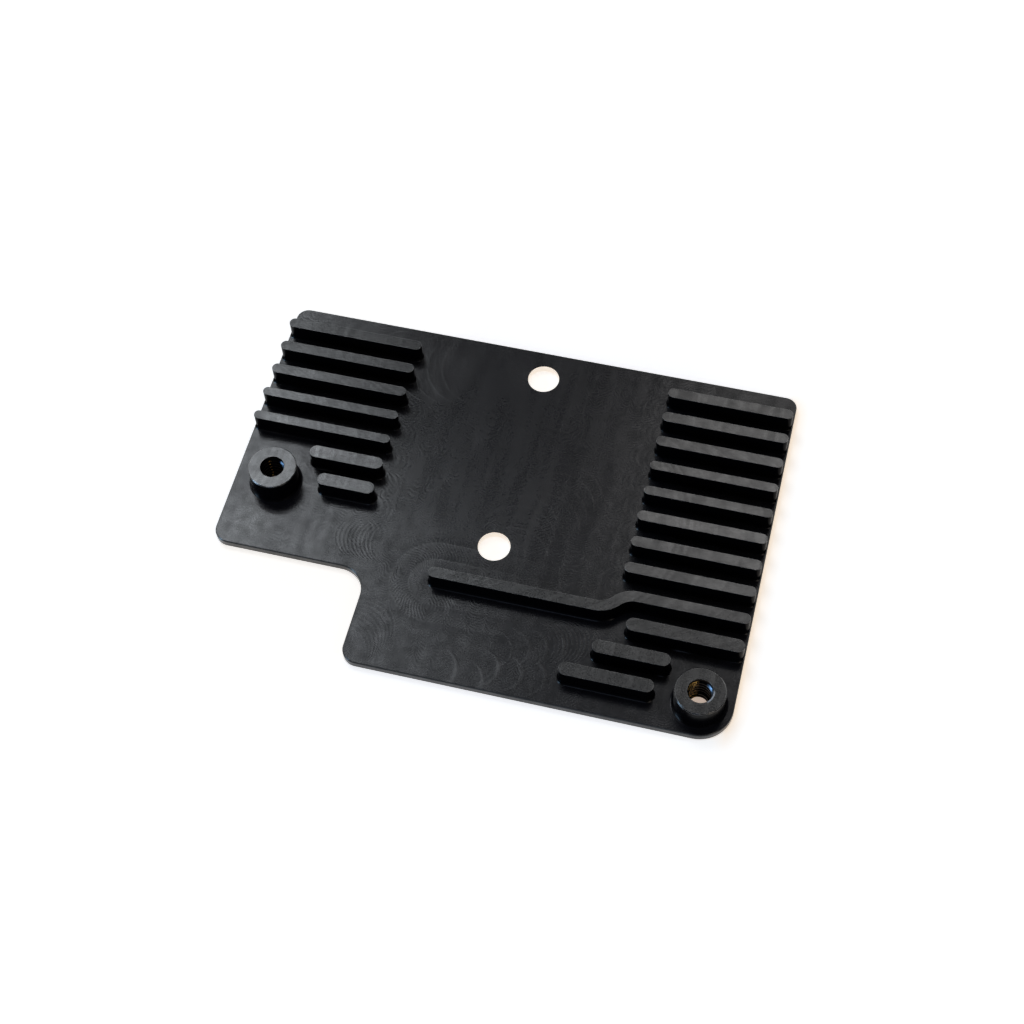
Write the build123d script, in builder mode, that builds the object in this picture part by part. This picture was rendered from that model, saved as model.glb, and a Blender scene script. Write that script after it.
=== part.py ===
"""Milled plate heatsink: thin base plate, rows of round-ended fins and two tapped bosses, all one piece."""
import math
import os

from build123d import *

os.makedirs("parts", exist_ok=True)

# base plate, with the near left corner cut away by a notch
plate_w = 55.0
plate_d = 40.4
plate_t = 0.85
notch_w = 16.6
notch_d = 10.2
notch_r = 2.8
far_corner_r = 1.25
near_corner_r = 1.65
rim_break = 0.1

# fins: rows are counted from the far edge of the plate
row_pitch = 3.07
first_row = 3.46
fin_h = 1.95
fin_w = 1.15
fin_narrow_w = 1.0
fin_wide_w = 1.4
foot_flare = 0.2
end_inset = 0.15

# where the fins of the left and the right group stop, measured from the left edge of the plate
left_group_end = 14.9
right_group_start = 41.7

# the long fin leaves its row by two equal arcs and runs on towards the notch
long_fin_start = 22.95
long_fin_row = 9
bend_shift = 1.83
bend_angle = 50.0
bend_middle = 41.75

# tapped bosses: one by the left edge, one concentric with the large near right corner
boss_r = 2.5
boss_h = 2.7
boss_edge_break = 0.1
boss_foot_r = 0.25
tap_r = 1.25
corner_boss_inset = 3.4
left_boss = (4.3, 22.1)

# plain through holes on one line, the far one as deep in as the corner boss
hole_r = 1.65
hole_x = 28.25
hole_spacing = 21.2


# the origin is the middle of the plate's underside; distances above run from its far left corner
def at(from_left, from_far):
    return (from_left - plate_w / 2, plate_d / 2 - from_far)


def row_y(row):
    return first_row + (row - 1) * row_pitch


def outline(inset):
    """Face of the plate's outline, drawn in by the inset all the way round."""
    left, far = at(inset, inset)
    right, near = at(plate_w - inset, plate_d - inset)
    step_x, step_y = at(notch_w + inset, plate_d - notch_d - inset)
    corners = (
        ((left, far), far_corner_r - inset),
        ((right, far), far_corner_r - inset),
        ((right, near), corner_boss_inset - inset),
        ((step_x, near), near_corner_r - inset),
        ((step_x, step_y), notch_r + inset),
        ((left, step_y), near_corner_r - inset),
    )
    with BuildSketch() as face:
        with BuildLine():
            Polyline(*[point for point, radius in corners], close=True)
        make_face()
        for point, radius in corners:
            fillet(face.vertices().sort_by_distance(point)[0], radius)
    return face.sketch


def fin_half(width):
    """Half of a fin's cross-section: an upright wall on a foot that flares out to the plate."""
    half = width / 2
    with BuildLine() as line:
        Polyline((0, 0), (half + foot_flare, 0), (half, foot_flare), (half, fin_h), (0, fin_h), close=True)
    return line.line


def section_plane(x, y):
    """Upright plane across a fin: its own x runs across the fin, its own y runs up."""
    return Plane(origin=(x, y, plate_t), x_dir=(0, 1, 0), z_dir=(1, 0, 0))


def round_end(x, y, width, turn):
    """Half-round end of a fin: the half section turned about the upright line through the end's centre."""
    with BuildSketch(section_plane(x, y)) as section:
        with BuildLine():
            add(fin_half(width))
        make_face()
    revolve(section.sketch, axis=Axis((x, y, 0), (0, 0, 1)), revolution_arc=turn)


def full_section(x, y, width):
    """Both halves of the section, standing at the point where a fin's straight wall begins."""
    with BuildSketch(section_plane(x, y)) as section:
        with BuildLine():
            add(fin_half(width))
        make_face()
        mirror(about=Plane.YZ)
    return section.sketch


def straight_fin(start, end, row, width):
    """A fin from start to end, both measured to the tips of its round ends."""
    x0, y = at(start + width / 2, row_y(row))
    x1 = at(end - width / 2, 0)[0]
    extrude(full_section(x0, y, width), amount=x1 - x0)
    round_end(x0, y, width, 180)
    round_end(x1, y, width, -180)


def dog_leg_fin(start, end, row, width):
    """A fin that leaves its row by two tangent arcs and goes on straight, parallel to the row."""
    x0, low_y = at(start + width / 2, row_y(row) + bend_shift)
    x1, high_y = at(end - width / 2, row_y(row))
    bend_r = bend_shift / (2 * (1 - math.cos(math.radians(bend_angle))))
    reach = bend_r * math.sin(math.radians(bend_angle))
    bend_x = at(bend_middle, 0)[0]
    with BuildLine() as path:
        Line((x0, low_y, plate_t), (bend_x - reach, low_y, plate_t))
        CenterArc((bend_x - reach, low_y + bend_r, plate_t), bend_r, -90, bend_angle)
        CenterArc((bend_x + reach, high_y - bend_r, plate_t), bend_r, 90 + bend_angle, -bend_angle)
        Line((bend_x + reach, high_y, plate_t), (x1, high_y, plate_t))
    sweep(full_section(x0, low_y, width), path=path.line)
    round_end(x0, low_y, width, 180)
    round_end(x1, high_y, width, -180)


# the fins, each one cut off where its foot would run over the edge of the plate
left_edge = end_inset
right_edge = plate_w - end_inset

with BuildPart() as fins:
    for row in (1, 2, 3):
        straight_fin(left_edge, left_group_end, row, fin_w)
        straight_fin(right_group_start, right_edge, row, fin_w)
    for row in (4, 5):
        straight_fin(left_edge, left_group_end, row, fin_narrow_w)
        straight_fin(right_group_start, right_edge, row, fin_narrow_w)
    for row, start in ((6, 7.25), (7, 9.0)):
        straight_fin(start, left_group_end + 0.1, row, fin_wide_w)
    for row in (6, 7, 8):
        straight_fin(right_group_start, right_edge, row, fin_w)
    dog_leg_fin(long_fin_start, right_edge, long_fin_row, fin_w)
    for row, start, end in ((10, 43.2, right_edge), (11, 40.5, 48.2), (12, 37.9, 47.2)):
        straight_fin(start, end, row, fin_wide_w)
    with BuildSketch(Plane.XY.offset(plate_t)):
        add(outline(rim_break))
    extrude(amount=fin_h, mode=Mode.INTERSECT)

boss_centres = [at(*left_boss), at(plate_w - corner_boss_inset, plate_d - corner_boss_inset)]
hole_centres = [at(hole_x, corner_boss_inset), at(hole_x, corner_boss_inset + hole_spacing)]
boss_foot_mid = boss_foot_r * (1 - math.sqrt(0.5))

with BuildPart() as heatsink:
    with BuildSketch():
        add(outline(0))
    extrude(amount=plate_t)
    rims = heatsink.faces().sort_by(Axis.Z)
    chamfer([*rims[0].edges(), *rims[-1].edges()], rim_break)

    # a boss: flared foot, round wall and broken top edge turned about its own centre
    for x, y in boss_centres:
        with BuildSketch(section_plane(x, y)):
            with BuildLine():
                Line((0, 0), (boss_r + boss_foot_r, 0))
                ThreePointArc(
                    (boss_r + boss_foot_r, 0),
                    (boss_r + boss_foot_mid, boss_foot_mid),
                    (boss_r, boss_foot_r),
                )
                Polyline(
                    (boss_r, boss_foot_r),
                    (boss_r, boss_h - boss_edge_break),
                    (boss_r - boss_edge_break, boss_h),
                    (0, boss_h),
                    (0, 0),
                )
            make_face()
        revolve(axis=Axis((x, y, 0), (0, 0, 1)))

    add(fins.part)

    with Locations(*[(x, y, plate_t + boss_h) for x, y in boss_centres]):
        Hole(radius=tap_r, depth=plate_t + boss_h)
    with Locations(*[(x, y, plate_t) for x, y in hole_centres]):
        Hole(radius=hole_r, depth=plate_t)

heatsink.part.label = "heatsink"
export_step(heatsink.part, "parts/heatsink.step")
print("size", heatsink.part.bounding_box().size, "volume", round(heatsink.part.volume, 2))
print("solids", len(heatsink.part.solids()), "valid", heatsink.part.is_valid)
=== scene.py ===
import math

import bmesh
import bpy
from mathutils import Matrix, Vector


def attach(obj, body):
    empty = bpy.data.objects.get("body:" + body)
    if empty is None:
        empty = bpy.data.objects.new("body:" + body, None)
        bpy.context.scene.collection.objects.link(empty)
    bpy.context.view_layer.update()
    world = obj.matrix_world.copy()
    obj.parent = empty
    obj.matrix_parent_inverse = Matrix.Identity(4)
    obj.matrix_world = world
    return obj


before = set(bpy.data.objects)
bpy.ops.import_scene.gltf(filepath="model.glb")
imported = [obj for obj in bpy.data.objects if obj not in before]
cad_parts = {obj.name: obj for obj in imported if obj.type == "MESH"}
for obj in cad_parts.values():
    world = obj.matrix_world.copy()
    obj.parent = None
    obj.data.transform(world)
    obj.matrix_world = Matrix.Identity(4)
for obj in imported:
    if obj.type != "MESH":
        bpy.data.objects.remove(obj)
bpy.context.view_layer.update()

bl_info = {
    "name": "Milled plate heatsink",
    "version": (1, 0, 0),
    "blender": (4, 5, 0),
    "location": "3D View > Sidebar > Heatsink",
    "description": "Gives a one-piece milled heatsink its black finish and winds its boss threads",
    "category": "Object",
}

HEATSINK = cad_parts["heatsink"]
MM = 0.001

# places and sizes on the part, in millimetres from the middle of its underside
PLATE_TOP = 0.85
FIN_TOP = 2.8
BOSS_TOP = 3.55
ROW_PITCH = 3.07
PLAIN_HOLES = ((0.75, 16.8), (0.75, -4.4))
HOLE_RADIUS = 1.65
BORES = {"left_boss_thread": (-23.2, -1.9), "corner_boss_thread": (24.1, -16.8)}
BOSS_REACH = 2.8
EDGE_RADIUS = 0.09

# the long fin's left end and line, and the two bands of strokes that the cutter left round it
LONG_FIN_LEFT = -3.95
LONG_FIN_Y = -9.65
INNER_BAND = 2.6
OUTER_BAND = 4.5
BAND_PITCH = 0.34
BAND_STRENGTH = 0.42

# lanes of a small cutter on the open floor, and how far they wander
LANE_WIDTH = 2.05
LANE_WANDER = 0.9

# the ends of the grooves between the fins, with the way in from each; the shift sets where the
# arcs left there lie across the grooves
GROOVE_ENDS = ((-12.6, 1.0), (14.2, -1.0))
GROOVE_SHIFT = 1.2
GROOVE_PITCH = 0.62
GROOVE_STRENGTH = 0.3

# squares of the radii of the arcs on the lanes, at the groove ends and over the lands
LANE_ARC = 1.35
GROOVE_ARC = 2.6
LAND_ARC = 144.0

# runs of a round cutter on the floor: start, heading in degrees, radius, pitch, length, strength
CUTTER_RUNS = (
    ((-12.8, -6.3), 0.0, 2.7, 0.43, 4.4, 0.6),
    ((-23.2, -1.9), 235.0, 5.2, 1.3, 6.4, 0.5),
    ((10.5, -13.3), 195.0, 2.6, 0.42, 4.4, 0.75),
    ((7.8, -17.9), 180.0, 2.0, 2.3, 6.4, 1.5),
    ((8.6, -14.2), 196.0, 2.1, 1.7, 6.0, 1.1),
    ((1.6, -19.9), 166.0, 2.6, 2.9, 6.4, 1.6),
    ((2.6, -1.5), 270.0, 4.0, 1.3, 5.4, 0.9),
    ((6.0, 3.0), 250.0, 4.2, 1.4, 6.0, 0.8),
    ((-13.5, 15.5), 10.0, 5.0, 1.6, 9.0, 1.0),
    ((-22.0, 17.5), -15.0, 4.5, 1.3, 9.0, 0.9),
    ((-20.5, -1.6), 60.0, 2.2, 1.1, 3.2, 1.0),
    ((-9.5, -16.0), 240.0, 3.2, 0.5, 4.5, 0.35),
)
# arcs further apart than this are thin lines, this much sharper than a wave
LINE_PITCH = 1.0
LINE_SHARPNESS = 12.0

# heights of the swirl, of the grain and of the streaks on the lands, in the bump
SWIRL_HEIGHT = 0.0045
GRAIN_HEIGHT = 0.004
STREAK_HEIGHT = 0.004
# share of the swirl that the lands are without
LAND_CALM = 0.7

# gloss of the floor, what the patches on the lands add to it, and how much each mark raises it
FLOOR_SHEEN = 0.5
LAND_SHEEN = (0.25, 0.55)
SWIRL_SHEEN = 0.2
TONE_SHEEN = 0.35
END_SHEEN = 0.22
CREST_SHEEN = 2.6
# middle of the further short fin at the left, whose ends are glossier
SHORT_FIN_MIDDLE = (-16.2, 1.39)

# share of the gloss that the sides of fins and bosses lose, how much of it the bosses' lit side
# gets back, and the way that side faces
FIN_SHADE = 0.96
BOSS_SHADE = 0.94
LIT_SHARE = 0.85
LIT_SIDE = (-0.82, -0.57, 0)

# where the turns get painted brass-coloured glints: middle and half width of the band, in degrees
# round each bore, and how far the painted glints reach outwards from the crests
GLINT_STRIPS = {
    "left_boss_thread": (124.0, 8.0, 0.03),
    "corner_boss_thread": (150.0, 48.0, 0.2),
}
# where they get a painted bluish reflection: the middle of the side, and where it has faded out and
# is full, in degrees
PAINTED_REFLECTION_TURNS = (25.0, 45.0, 12.0)
# direction of the burr from the middle of the corner bore, in radians
BURR_TURN = -0.32

# a thread's ridge: its ends, how far it sits in the wall, and how much deeper its first turn is
THREAD_BOTTOM = 0.03
THREAD_TOP = BOSS_TOP - 0.1
THREAD_BITE = 0.01
FIRST_TURN_DEPTH = 0.16

# colours of the metal that no setting holds
WORN_BLACK = (0.004, 0.004, 0.005)
# painted shade: the walls get a darker black than the floor, as little light reaches them
WALL_PAINTED_SHADE = (0.002, 0.002, 0.003)
TURN_BLACK = (0.003, 0.003, 0.004)
# painted reflection: the light bluish colour stands in for lamp light reflected off the turns
TURN_PAINTED_REFLECTION = (0.42, 0.58, 0.8)
# painted highlight: the light grey of the burr stands in for light reflected off it
BURR_HIGHLIGHT = (0.62, 0.68, 0.76)
BARE_METAL = (0.93, 0.86, 0.78)

# tints of the table: its grain, a painted shadow in front of the plate, a painted warm glow beside
# it, painted shade under it and below each bore
WHITE = (1.0, 1.0, 1.0)
TABLE_GRAIN = (0.8, 0.8, 0.8)
FRONT_PAINTED_SHADOW = (0.86, 0.86, 0.92)
SIDE_PAINTED_GLOW = (1.0, 0.77, 0.52)
UNDER_PAINTED_SHADE = (1.0, 0.955, 0.9)
BORE_PAINTED_SHADE = {"left_boss_thread": (0.12, 0.08, 0.06), "corner_boss_thread": (0.6, 0.48, 0.4)}

# half the table's width and how far it lies below the underside, in metres
TABLE_HALF = 1.5
TABLE_DROP = 0.00002

# lamps, turned to the plate's middle: place and size in metres, share of the key power, colour
LAMPS = {
    "key_lamp": ((-0.228, 0.228, 0.506), (0.2, 0.2), 1.0, (0.9, 0.95, 1.0)),
    "top_lamp": ((-0.0776, 0.1345, 0.5796), (0.25, 0.25), 0.18, (0.9, 0.94, 1.0)),
    "far_lamp": ((0.0285, 0.3255, 0.5032), (0.14, 0.14), 0.24, (1.0, 0.98, 0.97)),
    "left_lamp": ((-0.37, -0.235, 0.14), (0.16, 0.1), 0.75, (0.44, 0.7, 1.0)),
    "right_lamp": ((0.33, -0.27, 0.18), (0.14, 0.1), 0.2, (1.0, 0.88, 0.74)),
    "back_lamp": ((-0.05, 0.6, 0.14), (0.7, 0.1), 0.6, (0.9, 0.95, 1.0)),
    "front_lamp": ((0.0, -0.5, 0.33), (0.2, 0.2), 0.16, (0.5, 0.66, 1.0)),
}
# strength of the room light at the table's level
LOW_LIGHT = 0.6


class AnodisedFinish(bpy.types.PropertyGroup):
    """Colours, gloss and cutter marks of the black anodised metal."""

    floor_colour: bpy.props.FloatVectorProperty(
        name="Milled floor colour", description="Anodised colour of the floor between the fins",
        subtype="COLOR", size=3, min=0, max=1, default=(0.0125, 0.0122, 0.0165))
    top_colour: bpy.props.FloatVectorProperty(
        name="Land colour", description="Anodised colour of the fin and boss tops",
        subtype="COLOR", size=3, min=0, max=1, default=(0.02, 0.02, 0.02))
    # edge wear and painted highlight: the paler colour of the edges stands partly for wear and
    # partly for light caught on them
    edge_wear_and_highlight_colour: bpy.props.FloatVectorProperty(
        name="Edge colour", description="Paler anodising on the sharp edges",
        subtype="COLOR", size=3, min=0, max=1, default=(0.3, 0.3, 0.3))
    floor_roughness: bpy.props.FloatProperty(
        name="Floor roughness", description="Roughness of the pocketed floor",
        subtype="FACTOR", min=0, max=1, default=0.22)
    top_roughness: bpy.props.FloatProperty(
        name="Land roughness", description="Roughness of the fin and boss tops",
        subtype="FACTOR", min=0, max=1, default=0.22)
    swirl_pitch: bpy.props.FloatProperty(
        name="Swirl pitch", description="Distance between the arcs in the lanes, in metres",
        subtype="DISTANCE", unit="LENGTH", min=0.00005, max=0.002, default=0.00042)
    swirl_depth: bpy.props.FloatProperty(
        name="Swirl depth", description="Strength of the cutter's arcs in the bump",
        min=0, max=2, default=0.55)
    grain_depth: bpy.props.FloatProperty(
        name="Grain depth", description="Strength of the fine etched grain in the bump",
        min=0, max=2, default=0.35)


class ThreadSizes(bpy.types.PropertyGroup):
    """Sizes and colour of the turns inside the tapped bores."""

    pitch: bpy.props.FloatProperty(
        name="Pitch", description="Rise of one turn, in metres",
        subtype="DISTANCE", unit="LENGTH", min=0.0002, max=0.001, default=0.0005)
    wall_radius: bpy.props.FloatProperty(
        name="Wall radius", description="Radius of the bore's wall, in metres",
        subtype="DISTANCE", unit="LENGTH", min=0.001, max=0.002, default=0.00125)
    crest_radius: bpy.props.FloatProperty(
        name="Crest radius", description="Radius at the crests of the turns, in metres",
        subtype="DISTANCE", unit="LENGTH", min=0.001, max=0.002, default=0.00109)
    steps: bpy.props.IntProperty(
        name="Steps a turn", description="Straight steps in one turn", min=16, max=96, default=56)
    # painted glint: the brass colour of the crests stands in for warm light glinting on them
    crest_glint_colour: bpy.props.FloatVectorProperty(
        name="Crest colour", description="Brassy tint of the oiled turns",
        subtype="COLOR", size=3, min=0, max=1, default=(0.85, 0.55, 0.18))


class StudioSettings(bpy.types.PropertyGroup):
    """The table, the lamps and the camera."""

    table_colour: bpy.props.FloatVectorProperty(
        name="Table colour", description="Colour of the table",
        subtype="COLOR", size=3, min=0, max=1, default=(0.9, 0.9, 0.9))
    key_power: bpy.props.FloatProperty(
        name="Key power", description="Power of the big lamp behind the far left corner",
        unit="POWER", min=0, max=50, default=0.46)
    fill: bpy.props.FloatProperty(
        name="Room light", description="Strength of the even light from the room",
        min=0, max=2, default=0.07)
    lens: bpy.props.FloatProperty(
        name="Lens", description="Focal length in millimetres", min=20, max=200, default=64.98)
    camera_place: bpy.props.FloatVectorProperty(
        name="Camera place", description="Where the camera stands",
        subtype="TRANSLATION", size=3, default=(0.030236, -0.09425, 0.161124))
    camera_turn: bpy.props.FloatVectorProperty(
        name="Camera turn", description="How the camera is turned", subtype="EULER", size=3,
        default=(math.radians(31.5249), math.radians(1.7503), math.radians(14.1062)))


class Graph:
    """Short words for laying out the nodes of a material, or of the room."""

    def __init__(self, owner):
        self.owner = owner
        owner.use_nodes = True
        self.tree = owner.node_tree
        self.tree.nodes.clear()

    def node(self, kind, *inputs, fed=None, **settings):
        """New node with its settings, its inputs given in order or by name or number."""
        made = self.tree.nodes.new("ShaderNode" + kind)
        for key, value in settings.items():
            setattr(made, key, value)
        for key, value in (*enumerate(inputs), *(fed or {}).items()):
            self.feed(made.inputs[key], value)
        return made

    def feed(self, socket, value):
        """Link a socket to a node or an output, or set it to a plain number, vector or colour."""
        if isinstance(value, bpy.types.Node):
            value = value.outputs[0]
        if isinstance(value, bpy.types.NodeSocket):
            self.tree.links.new(value, socket)
        elif value is not None:
            socket.default_value = (*value, 1.0) if socket.type == "RGBA" else value

    def math(self, operation, a, b=None):
        return self.node("Math", a, b, operation=operation).outputs[0]

    def chain(self, operation, values):
        """One operation carried on from value to value."""
        result, *others = values
        for value in others:
            result = self.math(operation, result, value)
        return result

    def plus(self, *values):
        return self.chain("ADD", values)

    def less(self, a, b):
        return self.math("SUBTRACT", a, b)

    def times(self, *values):
        return self.chain("MULTIPLY", values)

    def most(self, *values):
        return self.chain("MAXIMUM", values)

    def gap(self, value, middle=0.0):
        """How far a value is from a middle, either way."""
        return self.math("ABSOLUTE", self.less(value, middle))

    def between(self, value, low, high, to_low=0.0, to_high=1.0):
        """Even change from one result at low to another at high, held beyond them."""
        return self.node("MapRange", value, low, high, to_low, to_high, clamp=True).outputs[0]

    def spread(self, noise, to_low, to_high):
        """Noise, most of which lies between these two numbers, spread over a range."""
        return self.between(noise, 0.3, 0.7, to_low, to_high)

    def raised(self, value, mask, amount):
        """Value made greater by a share of itself where the mask is full."""
        return self.times(value, self.plus(1.0, self.times(mask, amount)))

    def wave(self, value, pitch):
        return self.math("SINE", self.times(value, 2 * math.pi / pitch))

    def lane(self, value, width):
        """Place across repeated lanes, from the middle of each."""
        return self.less(self.math("FLOORED_MODULO", value, width), width / 2)

    def arc(self, across, square):
        """How far a circle bulges ahead at a place across it, from the square of its radius."""
        return self.math("SQRT", self.most(self.less(square, self.times(across, across)), 0.0))

    def vector(self, operation, a, b=None):
        made = self.node("VectorMath", a, b, operation=operation)
        return made.outputs["Value" if operation in ("DOT_PRODUCT", "LENGTH") else "Vector"]

    def split(self, vector):
        return self.node("SeparateXYZ", vector).outputs[:]

    def millimetres(self):
        """Place on the object, in millimetres."""
        place = self.node("TexCoord").outputs["Object"]
        return self.node("VectorMath", place, fed={"Scale": 1 / MM}, operation="SCALE").outputs[0]

    def offset(self, place, middle):
        """Level offset of a place from the upright line through a middle."""
        return self.vector("MULTIPLY", self.vector("SUBTRACT", place, (*middle, 0)), (1, 1, 0))

    def turn(self, offset):
        """Direction of a level offset, in radians anticlockwise from the right."""
        x, y, _ = self.split(offset)
        return self.math("ARCTAN2", y, x)

    def noise(self, place, scale, detail=2.0):
        return self.node("TexNoise", place, fed={"Scale": scale, "Detail": detail}).outputs[0]

    def blend(self, factor, first, second):
        """Colour between two, each of them an output or a plain colour."""
        fed = {6: first, 7: second}
        return self.node("Mix", factor, fed=fed, data_type="RGBA").outputs[2]


def feed_marks(g, place, start, heading, radius, pitch, run):
    """Arcs left by a round cutter fed from start along a heading, for the length of a run."""
    turn = math.radians(heading)
    along = (math.cos(turn), math.sin(turn), 0)
    aside = (-along[1], along[0], 0)
    offset = g.vector("SUBTRACT", place, (*start, 0))
    sideways = g.vector("DOT_PRODUCT", offset, aside)
    square = radius * radius
    inside = g.less(square, g.times(sideways, sideways))
    travel = g.plus(g.vector("DOT_PRODUCT", offset, along), g.arc(sideways, square))
    arcs = g.wave(travel, pitch)
    if pitch > LINE_PITCH:
        arcs = g.math("POWER", g.between(arcs, -1.0, 1.0), LINE_SHARPNESS)
    return g.times(
        arcs,
        g.between(inside, 0.0, square / 4),
        g.between(travel, 0.0, 0.25),
        g.between(travel, run, run - 0.5),
    )


def marks_round_fin(g, x, y):
    """Strokes and band edges that the cutter left as it went round the long fin, and their tone."""
    on_fin = g.most(x, LONG_FIN_LEFT)
    dx = g.less(x, on_fin)
    dy = g.less(y, LONG_FIN_Y)
    far = g.math("SQRT", g.plus(g.times(dx, dx), g.times(dy, dy)))
    step = OUTER_BAND - INNER_BAND
    round_end = g.times(g.math("ARCTAN2", dx, dy), (INNER_BAND + OUTER_BAND) / 2)
    bow = g.times(g.wave(far, 2 * step), 0.5)
    strokes = g.wave(g.plus(on_fin, round_end, bow), BAND_PITCH)
    strokes = g.times(strokes, g.between(far, OUTER_BAND + 0.6, OUTER_BAND - 0.2))
    edges = [g.between(g.gap(far, band), 0.18, 0.0, 0.0, 2.4) for band in (INNER_BAND, OUTER_BAND)]
    near_end = g.between(x, LONG_FIN_LEFT + 5.5, LONG_FIN_LEFT + 0.5)
    marks = g.times(g.plus(strokes, *edges), near_end)

    # each band is duller at its inner side than at its outer side
    across = g.math("FLOORED_MODULO", g.less(far, INNER_BAND), step)
    tone = g.times(
        g.between(across, 0.0, step, -0.5, 0.4),
        g.between(far, OUTER_BAND + 1.9, OUTER_BAND + 1.2),
        g.between(x, LONG_FIN_LEFT + 14.0, LONG_FIN_LEFT + 3.0),
    )
    return marks, tone


def cutter_marks(g, place, x, y, finish):
    """All the swirl of the milled floor, and the tone of the bands round the long fin."""
    # faint lanes of a small cutter that ran up and down the open floor, stronger in patches
    wander = g.spread(g.noise(place, 0.35, 1.0), -LANE_WANDER, LANE_WANDER)
    across = g.lane(g.plus(x, g.times(wander, 0.5)), LANE_WIDTH)
    lanes = g.wave(g.plus(y, wander, g.arc(across, LANE_ARC)), finish.swirl_pitch / MM)
    ridge = g.between(g.gap(across), LANE_WIDTH / 2 - 0.2, LANE_WIDTH / 2, 0.0, 0.9)
    patch = g.between(g.noise(place, 0.3, 1.0), 0.4, 0.66, 0.12, 0.5)
    marks = g.times(g.plus(lanes, ridge), patch)

    # the cutter ran out of every groove between the fins and left a stack of arcs there
    bulge = g.arc(g.lane(g.plus(y, GROOVE_SHIFT), ROW_PITCH), GROOVE_ARC)
    for end, way in GROOVE_ENDS:
        inward = g.less(g.times(g.less(x, end), way), bulge)
        arcs = g.times(
            g.wave(inward, GROOVE_PITCH),
            g.between(inward, -1.4, -1.1),
            g.between(inward, 1.7, 0.4),
            g.between(y, -9.5, -8.0),
        )
        marks = g.plus(marks, g.times(arcs, GROOVE_STRENGTH))

    for start, heading, radius, pitch, run, strength in CUTTER_RUNS:
        arcs = feed_marks(g, place, start, heading, radius, pitch, run)
        marks = g.plus(marks, g.times(arcs, strength))
    bands, tone = marks_round_fin(g, x, y)
    return g.plus(marks, g.times(bands, BAND_STRENGTH)), tone


def edge_masks(g, rounded, facing, rise):
    """Mask of the crests, the top edges of fins and bosses, and one of all the paler edges: wear
    and painted highlight.
    """
    bend = g.vector("DOT_PRODUCT", rounded, g.node("NewGeometry").outputs["Normal"])
    crest = g.times(g.between(bend, 0.985, 0.85), g.between(rise, 2.2, 2.4))
    rim = g.times(
        g.between(rise, PLATE_TOP - 0.01, PLATE_TOP - 0.03),
        g.between(facing, 0.95, 0.9),
        g.between(facing, 0.3, 0.5, 0.0, 0.4),
    )
    return crest, g.most(crest, rim)


def land_patches(g, x, y):
    """Wide arcs of the face cutter over the lands: patches that change tone across a fin."""
    sweep = g.less(x, g.arc(y, LAND_ARC))
    facet = g.node("TexVoronoi", None, g.times(sweep, 0.5), voronoi_dimensions="1D", feature="F1")
    tone = g.node("SeparateColor", facet.outputs["Color"])
    return g.between(tone, 0.0, 1.0, *LAND_SHEEN)


def short_fin_ends(g, x, y):
    """Glossier ends of the further short fin at the left."""
    middle_x, middle_y = SHORT_FIN_MIDDLE
    return g.times(
        g.between(g.gap(x, middle_x), 1.8, 2.0),
        g.between(g.gap(y, middle_y), 0.95, 0.85),
    )


def floor_passes(g, place, x, y):
    """Gloss of the floor's milling passes: far strip, left pocket, right side and near part."""
    drift = g.noise(g.vector("MULTIPLY", place, (1.0, 0.2, 1.0)), 0.8, 3.0)
    far_strip = g.times(g.between(y, 11.0, 17.0), g.between(x, 9.0, -20.0, 0.0, 0.65))
    near_part = g.times(g.between(y, -4.0, -9.0), g.between(x, -17.0, -12.0, 0.0, 0.13))
    return g.times(
        g.between(x, -25.0, -14.0, 1.22, 0.93),
        g.between(x, 3.0, 9.0, 1.0, 0.87),
        g.between(drift, 0.35, 0.65, 0.85, 1.15),
        g.less(g.plus(1.0, far_strip), near_part),
    )


def shaded_sides(g, place, facing, rise):
    """Dark walls and feet of fins and bosses, but for the bosses' side that faces the left lamp."""
    wall = g.times(g.between(facing, 0.6, 0.3), g.between(rise, PLATE_TOP + 0.02, PLATE_TOP + 0.1))
    foot = g.times(
        g.between(facing, 0.95, 0.85),
        g.between(rise, PLATE_TOP + 0.03, PLATE_TOP + 0.08),
        g.between(rise, PLATE_TOP + 0.5, PLATE_TOP + 0.3),
    )
    by_boss = lit = 0.0
    for middle in BORES.values():
        offset = g.offset(place, middle)
        near = g.between(g.vector("LENGTH", offset), BOSS_REACH + 0.05, BOSS_REACH)
        side = g.between(g.vector("DOT_PRODUCT", offset, LIT_SIDE), 2.15, 2.45)
        by_boss = g.most(by_boss, near)
        lit = g.most(lit, g.times(side, near))
    below_top = g.between(rise, BOSS_TOP - 0.12, BOSS_TOP - 0.2, 0.0, BOSS_SHADE)
    dark = g.most(g.times(g.most(wall, foot), FIN_SHADE), g.times(by_boss, below_top))
    return g.times(dark, g.less(1.0, g.times(lit, LIT_SHARE)))


def burr_highlight_mask(g, place, rise):
    """Painted highlight on the burr at one side of the mouth of the corner boss's thread."""
    offset = g.vector("SUBTRACT", place, (*BORES["corner_boss_thread"], BOSS_TOP))
    return g.times(
        g.between(g.gap(g.turn(offset), BURR_TURN), 0.6, 0.45),
        g.between(g.vector("LENGTH", offset), 1.42, 1.34),
        g.between(rise, BOSS_TOP - 0.12, BOSS_TOP - 0.02),
    )


def bare_walls(g, place, facing):
    """Walls of the two plain holes, which are bare bright metal."""
    near = [
        g.between(g.vector("LENGTH", g.offset(place, hole)), HOLE_RADIUS + 0.03, HOLE_RADIUS + 0.01)
        for hole in PLAIN_HOLES
    ]
    return g.times(g.most(*near), g.between(facing, 0.5, 0.2))


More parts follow.
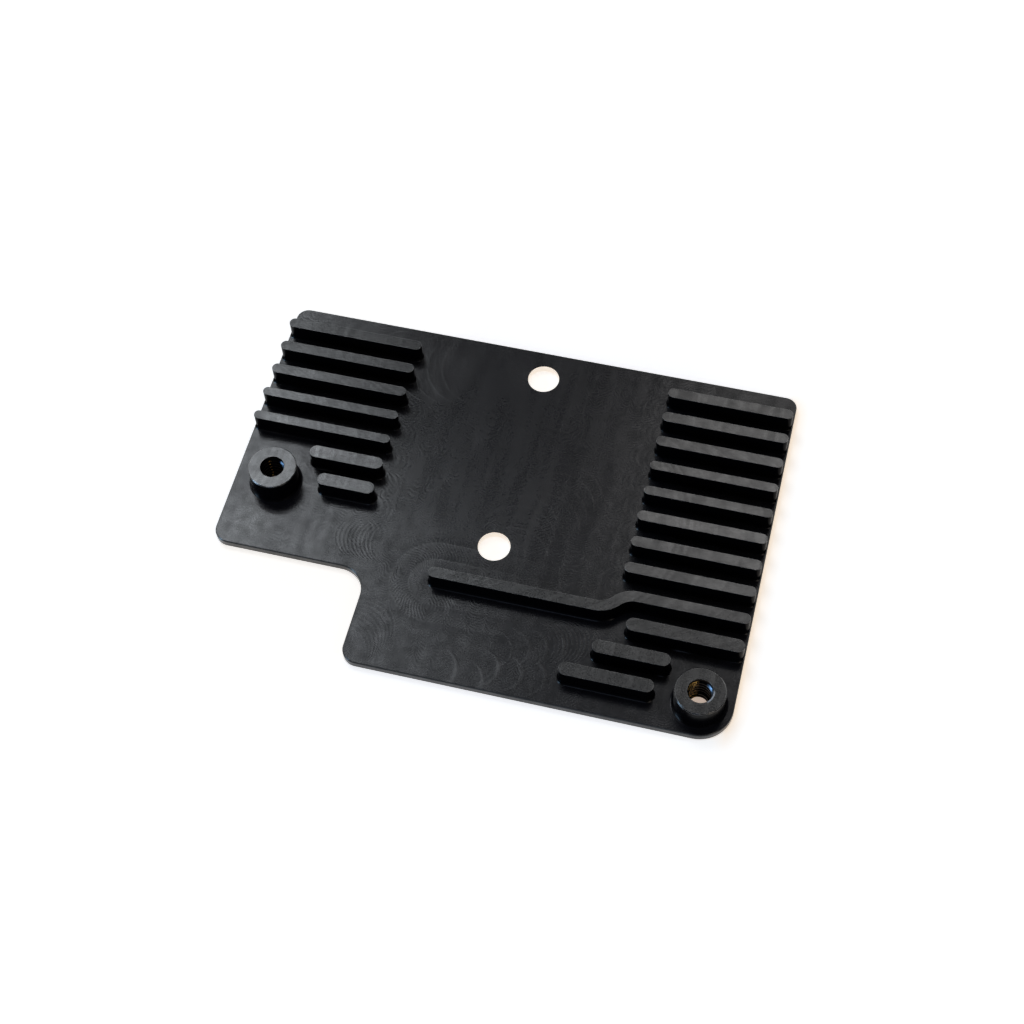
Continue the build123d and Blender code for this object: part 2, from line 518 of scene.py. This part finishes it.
def anodised_metal(finish):
    """Black anodised milled metal: swirled floor, plainer lands, dark walls and paler edges."""
    g = Graph(bpy.data.materials.new("black_anodised"))
    place = g.millimetres()
    x, y, rise = g.split(place)
    facing = g.split(g.node("NewGeometry").outputs["True Normal"])[2]
    upward = g.between(facing, 0.8, 0.95)
    land = g.between(rise, FIN_TOP - 0.1, FIN_TOP - 0.02)
    floor = g.less(1.0, land)
    marks, tone = cutter_marks(g, place, x, y, finish)
    swirl = g.times(marks, g.less(1.0, g.times(land, LAND_CALM)), upward)
    streak = g.noise(g.vector("MULTIPLY", place, (1.6, 0.3, 1.0)), 1.5)
    grain = g.noise(place, 7.0, 3.0)
    cloud = g.noise(place, 0.9, 4.0)

    rounded = g.node("Bevel", fed={"Radius": EDGE_RADIUS * MM}, samples=2).outputs[0]
    crest, edge_wear_and_highlight = edge_masks(g, rounded, facing, rise)
    height = g.plus(
        g.times(swirl, finish.swirl_depth * SWIRL_HEIGHT),
        g.times(grain, finish.grain_depth * GRAIN_HEIGHT),
        g.times(streak, land, STREAK_HEIGHT),
    )
    bump = {"Strength": 1.0, "Distance": MM, "Height": height, "Normal": rounded}

    bare = bare_walls(g, place, facing)
    colour = g.blend(land, finish.floor_colour, finish.top_colour)
    colour = g.blend(g.between(cloud, 0.35, 0.65, 0.0, 0.4), colour, WORN_BLACK)
    # painted shade: every face that does not face up takes the darker wall black
    colour = g.blend(upward, WALL_PAINTED_SHADE, colour)
    # edge wear and painted highlight: the edges are blended towards the paler colour
    colour = g.blend(g.times(edge_wear_and_highlight, 0.6), colour, finish.edge_wear_and_highlight_colour)
    # painted highlight on the burr at the mouth of the corner bore
    colour = g.blend(burr_highlight_mask(g, place, rise), colour, BURR_HIGHLIGHT)
    colour = g.blend(bare, colour, BARE_METAL)

    rough = g.plus(
        g.between(land, 0.0, 1.0, finish.floor_roughness, finish.top_roughness),
        g.spread(grain, -0.03, 0.03),
        g.spread(cloud, -0.02, 0.02),
    )

    sheen = g.plus(FLOOR_SHEEN, g.times(land, land_patches(g, x, y)))
    sheen = g.raised(sheen, swirl, SWIRL_SHEEN)
    sheen = g.raised(sheen, g.times(tone, floor), TONE_SHEEN)
    sheen = g.times(sheen, g.spread(cloud, 1.16, 0.84), g.between(grain, 0.38, 0.62, 0.8, 1.2))
    sheen = g.raised(sheen, g.times(short_fin_ends(g, x, y), land), END_SHEEN)
    sheen = g.raised(sheen, floor, g.less(floor_passes(g, place, x, y), 1.0))
    # the lands near the front are duller than those further back
    sheen = g.raised(sheen, land, g.between(y, -9.4, -6.4, -0.22, 0.08))
    sheen = g.raised(sheen, crest, CREST_SHEEN)
    sheen = g.times(sheen, g.less(1.0, shaded_sides(g, place, facing, rise)))

    shader = g.node("BsdfPrincipled", fed={
        "Base Color": colour,
        "Metallic": bare,
        "Roughness": rough,
        "Specular IOR Level": sheen,
        "Normal": g.node("Bump", fed=bump),
    })
    g.node("OutputMaterial", shader)
    return g.owner


def thread_metal(name, middle, glint_strip, sizes):
    """Dark metal of the turns, with a painted bluish reflection on one side and painted
    brass-coloured glints speckled in one band of the wall.
    """
    glint_middle, glint_half, past_crest = glint_strip
    g = Graph(bpy.data.materials.new(name))
    place = g.millimetres()
    rise = g.split(place)[2]
    offset = g.offset(place, middle)
    turn = g.turn(offset)
    speck = g.noise(place, 6.0, 3.0)
    reach = sizes.crest_radius / MM + past_crest
    strip = g.times(
        g.between(g.gap(turn, math.radians(glint_middle)),
                  math.radians(glint_half), math.radians(glint_half * 0.3)),
        g.between(speck, 0.46, 0.56, 0.05, 1.0),
        g.between(g.vector("LENGTH", offset), reach, reach - 0.02),
    )
    # painted reflection: one side of each bore's turns is coloured light bluish, as if lit
    reflection_middle, reflection_out, reflection_full = (math.radians(angle) for angle in PAINTED_REFLECTION_TURNS)
    painted_reflection = g.times(
        g.between(g.gap(turn, reflection_middle), reflection_out, reflection_full),
        g.between(rise, BOSS_TOP - 1.5, BOSS_TOP - 0.6),
    )
    colour = g.blend(painted_reflection, TURN_BLACK, TURN_PAINTED_REFLECTION)
    # painted glint: brass-coloured specks in one band of each bore
    colour = g.blend(strip, colour, sizes.crest_glint_colour)
    bump = {"Strength": 0.7, "Distance": 0.02 * MM, "Height": speck}
    shader = g.node("BsdfPrincipled", fed={
        "Base Color": colour,
        "Metallic": 1.0,
        "Roughness": g.spread(speck, 0.25, 0.42),
        "Normal": g.node("Bump", fed=bump),
    })
    g.node("OutputMaterial", shader)
    return g.owner


def object_from(shape, name):
    """Object with the finished mesh, linked to the scene."""
    mesh = bpy.data.meshes.new(name)
    shape.to_mesh(mesh)
    shape.free()
    made = bpy.data.objects.new(name, mesh)
    bpy.context.scene.collection.objects.link(made)
    return made


def thread_ridge(name, middle, sizes):
    """One helical ridge up the wall of a bore, deeper in its first turn, tapered at both ends."""
    pitch = sizes.pitch / MM
    wall = sizes.wall_radius / MM + THREAD_BITE
    crest = sizes.crest_radius / MM
    half = pitch * 0.42
    flat = half * 0.22
    bottom, top = THREAD_BOTTOM + half, THREAD_TOP - half
    count = int((top - bottom) / pitch * sizes.steps)
    run_in, run_out, deep_run = sizes.steps * 0.1, sizes.steps * 0.4, sizes.steps * 1.3
    shape = bmesh.new()
    rings = []
    for i in range(count + 1):
        angle = 2 * math.pi * i / sizes.steps
        z = bottom + pitch * i / sizes.steps
        full = min(1.0, (i + 4) / run_in, (count - i) / run_out)
        deeper = FIRST_TURN_DEPTH if i < deep_run else 0.0
        peak = wall - (wall - crest + deeper) * max(full, 0.05)
        profile = ((wall, z - half), (peak, z - flat), (peak, z + flat), (wall, z + half))
        ring = []
        for radius, height in profile:
            x = middle[0] + radius * math.cos(angle)
            y = middle[1] + radius * math.sin(angle)
            ring.append(shape.verts.new(Vector((x, y, height)) * MM))
        rings.append(ring)
    for lower, upper in zip(rings, rings[1:]):
        for k in range(4):
            n = (k + 1) % 4
            shape.faces.new((lower[k], upper[k], upper[n], lower[n]))
    shape.faces.new(rings[0])
    shape.faces.new(reversed(rings[-1]))
    bmesh.ops.recalc_face_normals(shape, faces=shape.faces)
    return object_from(shape, name)


class HEATSINK_OT_anodise(bpy.types.Operator):
    """Gives the milled heatsink its black anodised finish"""

    bl_idname = "heatsink.anodise"
    bl_label = "Anodise heatsink"

    def execute(self, context):
        metal = anodised_metal(context.scene.anodised_finish)
        HEATSINK.data.materials.clear()
        HEATSINK.data.materials.append(metal)
        return {"FINISHED"}


class HEATSINK_OT_tap_bosses(bpy.types.Operator):
    """Winds the thread inside both tapped bosses"""

    bl_idname = "heatsink.tap_bosses"
    bl_label = "Tap bosses"

    def execute(self, context):
        sizes = context.scene.thread_sizes
        if sizes.crest_radius >= sizes.wall_radius:
            raise RuntimeError("the thread's crests must stand inside the bore's wall")
        for name, middle in BORES.items():
            piece = thread_ridge(name, middle, sizes)
            piece.data.materials.append(thread_metal(name + "_turns", middle, GLINT_STRIPS[name], sizes))
            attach(piece, "root")
        return {"FINISHED"}


def table_finish(settings):
    """White table that reads as white in the picture and keeps the soft shadow."""
    g = Graph(bpy.data.materials.new("white_table"))
    place = g.millimetres()
    across, away, _ = g.split(place)
    grain = g.between(g.noise(place, 0.9), 0.4, 0.6, 0.0, 0.05)
    matt = g.node("BsdfDiffuse", g.blend(grain, settings.table_colour, TABLE_GRAIN))

    # painted shade under the plate, a painted warm glow close beside its right side and a painted
    # shadow in front of it
    under = g.times(g.between(g.gap(across), 27.0, 26.5), g.between(g.gap(away), 20.0, 19.5))
    # painted warm glow: a warm strip of light on the table beside the plate's right side
    side = g.times(
        g.math("POWER", g.between(across, 29.6, 27.2), 2.0),
        g.between(across, 26.0, 27.2),
        g.between(away, 21.5, 19.0),
        g.between(away, -21.2, -16.5),
    )
    # painted shadow: a faint violet shade on the table in front of the plate
    front = g.times(
        g.between(away, -23.5, -19.5),
        g.between(across, -14.0, -8.0),
        g.between(across, 30.0, 15.0),
    )
    tint = g.blend(g.times(front, 0.4), WHITE, FRONT_PAINTED_SHADOW)
    tint = g.blend(side, tint, SIDE_PAINTED_GLOW)
    # painted shade: the table under the plate is dimmed and warmed
    tint = g.blend(under, tint, UNDER_PAINTED_SHADE)
    # painted shade: the table seen through each bore is darkened and tinted
    for name, middle in BORES.items():
        near = g.between(g.vector("LENGTH", g.offset(place, middle)), 3.5, 3.0)
        tint = g.blend(near, tint, BORE_PAINTED_SHADE[name])
    glow = g.node("Emission", tint, g.between(g.vector("LENGTH", place), 120.0, 500.0, 0.8, 0.98))

    # the glow is only seen, straight or mirrored, and lights nothing
    paths = g.node("LightPath").outputs
    seen = g.most(paths["Is Camera Ray"], paths["Is Glossy Ray"], paths["Is Transmission Ray"])
    g.node("OutputMaterial", g.node("MixShader", seen, matt, g.node("AddShader", matt, glow)))
    return g.owner


def room_light(settings):
    """Light from the room, stronger near the table's level, and white where the camera sees it."""
    g = Graph(bpy.data.worlds.new("room"))
    rise = g.split(g.node("TexCoord").outputs["Generated"])[2]
    light = g.between(rise, 0.08, 0.26, LOW_LIGHT, settings.fill)
    seen = g.node("LightPath").outputs["Is Camera Ray"]
    g.node("OutputWorld", g.node("Background", WHITE, g.most(seen, light)))
    return g.owner


def lamp(name, place, size, power, colour):
    """Oblong lamp turned to the plate's middle."""
    light = bpy.data.lights.new(name, "AREA")
    light.shape = "RECTANGLE"
    light.size, light.size_y = size
    light.energy = power
    light.color = colour
    body = bpy.data.objects.new(name, light)
    body.location = place
    body.rotation_euler = (Vector() - Vector(place)).to_track_quat("-Z", "Y").to_euler()
    bpy.context.scene.collection.objects.link(body)


class HEATSINK_OT_set_stage(bpy.types.Operator):
    """Sets up the white table, the lamps, the room light and the camera"""

    bl_idname = "heatsink.set_stage"
    bl_label = "Set stage"

    def execute(self, context):
        scene = context.scene
        settings = scene.studio_settings
        shape = bmesh.new()
        bmesh.ops.create_grid(shape, x_segments=2, y_segments=2, size=TABLE_HALF)
        table = object_from(shape, "table")
        table.location = (0, 0, -TABLE_DROP)
        table.data.materials.append(table_finish(settings))

        for name, (place, size, share, colour) in LAMPS.items():
            lamp(name, place, size, settings.key_power * share, colour)
        scene.world = room_light(settings)

        camera = bpy.data.objects.new("camera", bpy.data.cameras.new("camera"))
        camera.data.lens = settings.lens
        camera.data.sensor_width = 36
        camera.data.clip_start = 0.005
        camera.location = settings.camera_place
        camera.rotation_euler = settings.camera_turn
        scene.collection.objects.link(camera)
        scene.camera = camera
        scene.view_settings.view_transform = "Standard"
        return {"FINISHED"}


OPERATORS = (HEATSINK_OT_anodise, HEATSINK_OT_tap_bosses, HEATSINK_OT_set_stage)
SETTINGS = {
    "anodised_finish": AnodisedFinish,
    "thread_sizes": ThreadSizes,
    "studio_settings": StudioSettings,
}


class HEATSINK_PT_panel(bpy.types.Panel):
    """Lists the heatsink's operators and their sizes and colours"""

    bl_label = "Heatsink"
    bl_idname = "HEATSINK_PT_panel"
    bl_space_type = "VIEW_3D"
    bl_region_type = "UI"
    bl_category = "Heatsink"

    def draw(self, context):
        for operator in OPERATORS:
            self.layout.operator(operator.bl_idname)
        for name, group in SETTINGS.items():
            box = self.layout.box()
            settings = getattr(context.scene, name)
            for item in group.__annotations__:
                box.prop(settings, item)


CLASSES = (*SETTINGS.values(), *OPERATORS, HEATSINK_PT_panel)


def register():
    for made in CLASSES:
        bpy.utils.register_class(made)
    for name, group in SETTINGS.items():
        setattr(bpy.types.Scene, name, bpy.props.PointerProperty(type=group))


def unregister():
    for name in SETTINGS:
        delattr(bpy.types.Scene, name)
    for made in reversed(CLASSES):
        bpy.utils.unregister_class(made)


def main():
    register()
    bpy.ops.heatsink.anodise()
    bpy.ops.heatsink.tap_bosses()
    bpy.ops.heatsink.set_stage()


if __name__ == "__main__":
    main()
